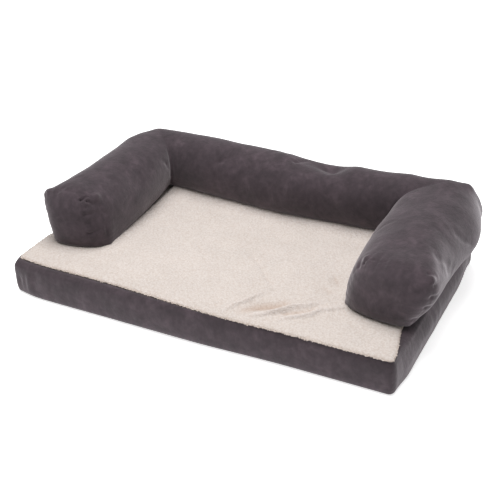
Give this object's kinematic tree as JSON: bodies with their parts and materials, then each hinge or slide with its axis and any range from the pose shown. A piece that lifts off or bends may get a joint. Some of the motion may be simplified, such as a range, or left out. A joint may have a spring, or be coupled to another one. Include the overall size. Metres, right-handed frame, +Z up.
{
  "type": "pet cushion bed",
  "caption": "Rectangular boxed foam pet bed with a fleece sleep surface, a stuffed U-shaped suede bolster along three sides and a zip in the rear boxing.",
  "frame": {"origin": "centre of the bottom of the bed's bounding box, on the floor", "axes": "+X to the sleeper's right as seen from the open front, along the bed's length; +Y from the open front to the back bolster; +Z up"},
  "size_m": [1.031, 0.6446, 0.248],
  "materials": {
    "suede": "matte",
    "fleece": "matte",
    "base_cloth": "matte",
    "foam": "matte",
    "fibre_fill": "matte",
    "zip_tape": "matte",
    "zip_coil": "satin",
    "zip_metal": "satin"
  },
  "bodies": {
    "bed": {"bottom_panel": "base_cloth", "foam_core": "foam", "sleep_surface_panel": "fleece", "front_boxing": "suede", "left_boxing": "suede", "right_boxing": "suede", "rear_boxing_lower": "suede", "rear_boxing_upper": "suede", "zip_tape_upper": "zip_tape", "zip_tape_lower": "zip_tape", "zip_coil_upper": "zip_coil", "zip_coil_lower": "zip_coil", "zip_bottom_stop": "zip_metal", "zip_top_stop": "zip_metal", "left_arm_cover": "suede", "left_end_cap": "suede", "left_arm_fill": "fibre_fill", "right_arm_cover": "suede", "right_end_cap": "suede", "right_arm_fill": "fibre_fill", "back_cover": "suede", "back_fill": "fibre_fill", "bolster_join_strip": "suede"},
    "slider": {"zip_slider": "zip_metal"},
    "pull": {"zip_pull": "zip_metal"}
  },
  "joints": [
    {"name": "zip_slide", "type": "slide", "parent": "bed", "child": "slider", "axis": [-1, 0, 0], "range_m": [0, 0.87]},
    {"name": "pull_hinge", "type": "hinge", "parent": "slider", "child": "pull", "pos_m": [0.41852, 0.32025, 0.043], "axis": [0, 0, -1], "range_deg": [0, 180]}
  ]
}
